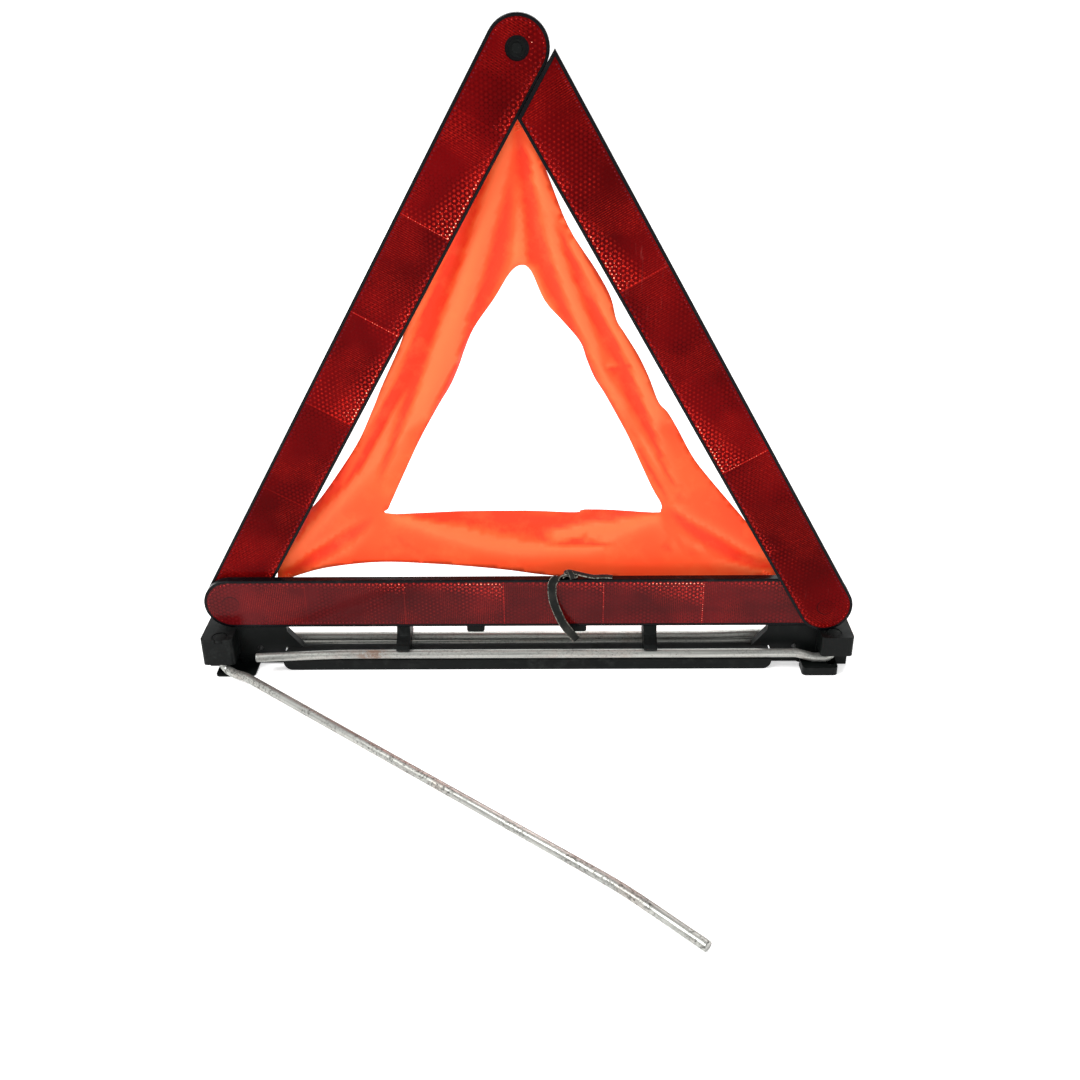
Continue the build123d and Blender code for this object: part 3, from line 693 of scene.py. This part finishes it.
def mark_folds(cloth):
    """Stores how far each point stands behind the smoothed cloth, so that the material can paint shade into the
    folds that stand back and a highlight onto those that stand forward.
    """
    mesh = cloth.data
    depth = np.array([v.co.y for v in mesh.vertices])
    ends = np.array([tuple(e.vertices) for e in mesh.edges])
    count = np.maximum(np.bincount(ends.ravel(), minlength=len(depth)), 1)

    def smoothed(values, rounds):
        for _ in range(rounds):
            total = np.bincount(ends[:, 0], values[ends[:, 1]], len(values))
            total += np.bincount(ends[:, 1], values[ends[:, 0]], len(values))
            values = 0.5 * values + 0.5 * total / count
        return values

    broad = (smoothed(depth, 3) - smoothed(depth, 40)) / (5.0 * MM)
    sharp = (depth - smoothed(depth, 7)) / (1.1 * MM)
    behind = broad + sharp
    values = mesh.attributes.new("fold", "FLOAT", "POINT")
    values.data.foreach_set("value", np.clip(0.5 + behind, 0.0, 1.0))


def make_cloth(material):
    """The cut gets its slack folds, and then a little more sag from hanging by its three corners."""
    flat, triangles = flat_cloth()
    points = [Vector((x, cloth_depth(z) + fold_depth(x, z), z)) for x, z in flat]
    cloth = add_mesh("warning_cloth_sheet", points, triangles, "stand", material)
    hang(cloth, points)
    for vertex, rest in zip(cloth.data.vertices, points):
        vertex.co.y = max(vertex.co.y, cloth_depth(rest.z) - 0.2 * MM - room_in_front(rest.x, rest.z))
    mark_folds(cloth)
    shell = cloth.modifiers.new("thickness", "SOLIDIFY")
    shell.thickness = CLOTH_THICKNESS
    shell.offset = 0.0
    bpy.context.view_layer.update()
    done = bpy.data.meshes.new_from_object(cloth.evaluated_get(bpy.context.evaluated_depsgraph_get()))
    cloth.modifiers.clear()
    cloth.data = done
    cloth.data.shade_smooth()
    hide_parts("warning_cloth")
    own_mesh(cloth)
    return cloth


def hang(cloth, points):
    """Cloth simulation with the three corners pinned. Its result goes into the mesh, capped."""
    pins = cloth.vertex_groups.new(name="corners")
    corners = [Vector((cloth_low.x, cloth_low.z)), Vector((cloth_high.x, cloth_low.z)),
               Vector((0, cloth_high.z))]
    reaches = [min((Vector((p.x, p.z)) - c).length for c in corners) for p in points]
    held = [i for i, reach in enumerate(reaches) if reach < CLOTH_HELD]
    pins.add(held, 1.0, "REPLACE")
    modifier = cloth.modifiers.new("cloth", "CLOTH")
    modifier.settings.vertex_group_mass = "corners"
    modifier.settings.quality = 8
    modifier.settings.mass = 0.12
    modifier.settings.tension_stiffness = 60
    modifier.settings.compression_stiffness = 60
    modifier.settings.shear_stiffness = 30
    modifier.settings.bending_stiffness = 0.4
    modifier.collision_settings.use_collision = False
    modifier.point_cache.frame_start = 1
    modifier.point_cache.frame_end = CLOTH_STEPS
    scene = bpy.context.scene
    for step in range(1, CLOTH_STEPS + 1):
        scene.frame_set(step)
    settled = cloth.evaluated_get(bpy.context.evaluated_depsgraph_get()).data
    hung = [v.co.copy() for v in settled.vertices]
    cloth.modifiers.clear()
    scene.frame_set(1)
    for vertex, rest, end in zip(cloth.data.vertices, points, hung):
        moved = end - rest
        moved.x, moved.z = moved.x * CLOTH_IN_PLANE, moved.z * CLOTH_IN_PLANE
        if moved.length > CLOTH_CAP:
            moved *= CLOTH_CAP / moved.length
        vertex.co = rest + moved


# ---- strap and its knot -------------------------------------------------------------------------
def ribbon(centres, width_dirs, out_dirs, width, thickness):
    """Points, faces and edge values of a flat tape along some centres: eight points round its section."""
    points, faces, edges = [], [], []
    shape = ((-0.5, -0.35), (-0.32, -0.5), (0.32, -0.5), (0.5, -0.35), (0.5, 0.35), (0.32, 0.5), (-0.32, 0.5),
             (-0.5, 0.35))
    n = len(shape)
    for centre, across, out in zip(centres, width_dirs, out_dirs):
        for a, b in shape:
            points.append(centre + across * (a * width) + out * (b * thickness))
            edges.append(1.0 if abs(a) > 0.4 else 0.55)
    for i in range(len(centres) - 1):
        start, end = i * n, (i + 1) * n
        for k in range(n):
            after = (k + 1) % n
            faces.append((start + k, start + after, end + after, end + k))
    faces.append(tuple(reversed(range(n))))
    last = n * (len(centres) - 1)
    faces.append(tuple(last + k for k in range(n)))
    return points, faces, edges


def tape(name, route, width, thickness, material, breadth):
    """A piece of tape through some given points. Its breadth lies along a direction."""
    line = [Vector(p) * MM for p in curve_through(route, 8)] + [Vector(route[-1]) * MM]
    across, out = [], []
    for i in range(len(line)):
        run = (line[min(i + 1, len(line) - 1)] - line[max(i - 1, 0)]).normalized()
        side = Vector(breadth)
        side = (side - run * side.dot(run)).normalized()
        wobble = 1 + 0.08 * noise.noise(Vector((i * 0.6, route[0][0], 0)))
        across.append(side * wobble)
        out.append(side.cross(run).normalized())
    points, faces, edges = ribbon(line, across, out, width, thickness)
    piece = add_mesh(name, points, faces, "stand", material)
    values = piece.data.attributes.new("edge", "FLOAT", "POINT")
    values.data.foreach_set("value", edges)
    return piece


def make_strap(material):
    """The storage strap: knotted on the bottom arm's top edge, its end hangs forward over the lens."""
    top = arm_high.z / MM
    front = arm_low.y / MM
    fall = tape(
        "storage_strap_tape",
        [(28, front + 2.6, top + 1.9), (21.5, front + 0.2, top + 1.8), (18.0, front - 1.6, top - 1.0),
         (17.4, front - 2.2, top - 6), (18.0, front - 2.8, top - 13), (20.4, front - 3.6, top - 21),
         (24.4, front - 5.0, top - 30), (29.4, front - 6.2, top - 37), (34.4, front - 7.4, top - 42)],
        5.8 * MM, 0.9 * MM, material, (1, 0, 0.3),
    )
    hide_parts("storage_strap")
    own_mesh(fall)
    turns = tape(
        "strap_knot_turns",
        [(24, -0.6, top + 0.7), (27, 0.6, top + 2.2), (30.5, 1.0, top + 3.4), (34, 0.2, top + 2.6),
         (33, -0.9, top + 1.5), (29.5, -1.1, top + 2.4), (26.5, -0.2, top + 3.7), (29, 0.9, top + 4.2),
         (34.5, 0.4, top + 3.1), (40, -0.2, top + 1.9), (46, -0.7, top + 1.0), (52, 0.2, top + 0.7),
         (58, -0.4, top + 0.6)],
        3.6 * MM, 1.1 * MM, material, (0, 1, 0.15),
    )
    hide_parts("strap_knot")
    tape(
        "strap_knot_loop",
        [(27, 2.6, top + 0.7), (28, 2.2, top + 2.8), (29, 0.6, top + 4.5), (30, -1.4, top + 4.4),
         (31, -2.6, top + 2.4), (31.5, -2.7, top + 0.7)],
        3.4 * MM, 1.0 * MM, material, (1, 0, 0),
    )


# ---- ties ---------------------------------------------------------------------------------------
def make_tie_seams(material):
    """A few stitches where each tie meets the cloth: a row of short threads that lean one way and the other, just
    in front of the cloth.
    """
    in_x, in_z, below_top = 6 * MM, 5 * MM, 7 * MM
    in_front = 0.9 * MM
    stitches, pitch, half_length, lean, half_thread = 7, 1.3 * MM, 1.5 * MM, 0.5 * MM, 0.2
    places = ((cloth_low.x + in_x, cloth_low.z + in_z, 35), (cloth_high.x - in_x, cloth_low.z + in_z, 145),
              (0.0, cloth_high.z - below_top, 90))
    points, faces = [], []
    for x, z, heading in places:
        a = math.radians(heading)
        run, side = Vector((math.cos(a), 0, math.sin(a))), Vector((-math.sin(a), 0, math.cos(a)))
        for k in range(stitches):
            middle = Vector((x, cloth_depth(z) - in_front, z)) + run * ((k - stitches // 2) * pitch)
            stitch = side * half_length + run * (lean if k % 2 else -lean)
            start = len(points)
            for t in (-1, 1):
                for b, c in ((-1, -1), (1, -1), (1, 1), (-1, 1)):
                    thick, deep = b * half_thread * MM, c * half_thread * MM
                    points.append(middle + stitch * t + run * thick + Vector((0, deep, 0)))
            for q in range(4):
                after = (q + 1) % 4
                faces.append((start + q, start + after, start + 4 + after, start + 4 + q))
            faces += [(start + 3, start + 2, start + 1, start), tuple(start + 4 + q for q in range(4))]
    return add_mesh("cloth_corner_stitches", points, faces, "stand", material)


# ---- putting it together ------------------------------------------------------------------------
SIDE_RED = (0.175, 0.0015, 0.0025)
BOTTOM_RED = (0.14, 0.004, 0.006)
LENSES = (      # each arm with its lens's colour, how strongly its cells sparkle, and its gloss
    (bottom_arm, BOTTOM_RED, 0.35, 0.08),
    (left_arm, SIDE_RED, 0.65, 0.015),
    (right_arm, SIDE_RED, 0.55, 0.015),
)
HOUSING_BLACK, HOUSING_WORN = (0.003, 0.003, 0.004), (0.02, 0.02, 0.02)
STAND_BLACK, STAND_WORN = (0.004, 0.005, 0.0048), (0.03, 0.033, 0.031)
RUST_SHARE = 0.2            # where the rust sits along the stowed right leg
OPEN_LEG_WEAR = 0.95

prisms = prism_material()
rng = random.Random(11)
for arm, tone, strength, gloss in LENSES:
    paint(nodes[arm.name + "_reflector"], lens_material(arm, tone, strength, gloss))
    make_prism_rows(arm, prisms, rng)

housing = black_plastic("glossy_black_housing", HOUSING_BLACK, HOUSING_WORN, 0.16, 0.38, 0.05 * MM)
stand_black = black_plastic("stand_black_plastic", STAND_BLACK, STAND_WORN, 0.35, 0.6, 0.1 * MM)
stowed_low, stowed_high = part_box("front_right_leg")
rust_x = stowed_low.x + (stowed_high.x - stowed_low.x) * RUST_SHARE
wire = wire_material("zinc_wire")
rusty_wire = wire_material("zinc_wire_with_rust", rust_at=rust_x)
open_leg_low, open_leg_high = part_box("front_left_leg")
swung_out = -math.degrees(math.atan2(open_leg_high.y - open_leg_low.y, open_leg_high.x - open_leg_low.x))
open_wire = wire_material("zinc_wire_of_open_leg", swung_out, OPEN_LEG_WEAR)
rivet = wire_material("rivet_zinc")
nylon = cloth_material()
worn_tape = strap_material()
finishes = {
    "housing_plastic": housing, "black_plastic": stand_black, "zinc_wire": wire, "rivet_metal": rivet,
    "orange_cloth": nylon, "strap_rubber": worn_tape,
}
for part in frame["record"]["subparts"]:
    if part["material_slot"] in finishes:
        paint(nodes[part["node"]], finishes[part["material_slot"]])
paint(nodes["front_right_leg"], rusty_wire)
paint(nodes["front_left_leg"], open_wire)

make_cloth(nylon)
make_tie_seams(nylon)
make_strap(worn_tape)


# ---- floor, light and camera --------------------------------------------------------------------
def make_floor():
    """A wide pale floor that curves up into a backdrop. It isn't part of the object."""
    half, depth, bend, height = 8.0, 2.5, 1.5, 7.0
    steps = 12
    profile = [(-half, 0.0), (depth, 0.0)]
    for step in range(1, steps + 1):
        a = math.radians(90 * step / steps)
        profile.append((depth + bend * math.sin(a), bend * (1 - math.cos(a))))
    profile.append((depth + bend, height))
    points, faces = [], []
    for y, z in profile:
        points += [(-half, y, z), (half, y, z)]
    for i in range(len(profile) - 1):
        faces.append((2 * i, 2 * i + 1, 2 * i + 3, 2 * i + 2))
    mesh = bpy.data.meshes.new("floor")
    mesh.from_pydata(points, [], faces)
    mesh.shade_smooth()
    floor = bpy.data.objects.new("floor", mesh)
    bpy.context.scene.collection.objects.link(floor)
    s = Shader("pale_floor")
    s.set(Base_Color=(0.93, 0.93, 0.93, 1.0), Roughness=0.95, Specular_IOR_Level=0.0)
    s.set(Emission_Color=(1.0, 1.0, 1.0, 1.0), Emission_Strength=0.5)
    paint(floor, s.material)


def add_light(name, place, target, size, power):
    """A round area light that shines from a place towards a target. Its power is in watts."""
    lamp = bpy.data.lights.new(name, "AREA")
    lamp.shape = "DISK"
    lamp.size = size
    lamp.energy = power
    obj = bpy.data.objects.new(name, lamp)
    obj.location = place
    obj.rotation_euler = (Vector(target) - Vector(place)).to_track_quat("-Z", "Y").to_euler()
    bpy.context.scene.collection.objects.link(obj)


CAMERA_PLACE = (0.0189, -0.6918, 0.4494)
CAMERA_PITCH, CAMERA_YAW, CAMERA_ROLL = -27.16, -0.76, -0.61    # degrees
CAMERA_LENS = 39.36


def make_camera():
    """The camera of the main view."""
    camera = bpy.data.objects.new("camera", bpy.data.cameras.new("camera"))
    camera.data.sensor_width = 36.0
    camera.data.lens = CAMERA_LENS
    camera.data.clip_start, camera.data.clip_end = 0.01, 50.0
    turn = Matrix.Rotation(math.radians(-CAMERA_YAW), 4, "Z")
    tilt = Matrix.Rotation(math.radians(90 + CAMERA_PITCH), 4, "X")
    roll = Matrix.Rotation(math.radians(CAMERA_ROLL), 4, "Z")
    camera.matrix_world = Matrix.Translation(CAMERA_PLACE) @ turn @ tilt @ roll
    bpy.context.scene.collection.objects.link(camera)
    bpy.context.scene.camera = camera


def make_world():
    """A backdrop that is white to the camera and dimmer as a light, so that the red lenses stay deep."""
    as_light, seen_directly = 0.5, 1.0
    world = bpy.data.worlds.new("studio")
    world.use_nodes = True
    tree = world.node_tree
    tree.nodes["Background"].inputs[0].default_value = (1.0, 1.0, 1.0, 1.0)
    seen = tree.nodes.new("ShaderNodeLightPath").outputs["Is Camera Ray"]
    strength = tree.nodes.new("ShaderNodeMapRange")
    strength.inputs["To Min"].default_value = as_light
    strength.inputs["To Max"].default_value = seen_directly
    tree.links.new(seen, strength.inputs["Value"])
    tree.links.new(strength.outputs[0], tree.nodes["Background"].inputs[1])
    bpy.context.scene.world = world


make_floor()
make_world()
add_light("key", (-1.3, -0.75, 1.5), (0, 0, 0.15), 0.7, 34)
add_light("fill", (1.3, -0.8, 1.0), (0, 0, 0.2), 1.4, 5)
add_light("back", (0.2, 1.2, 1.3), (0, 0, 0.2), 1.2, 10)
make_camera()
bpy.context.scene.view_settings.view_transform = "Standard"
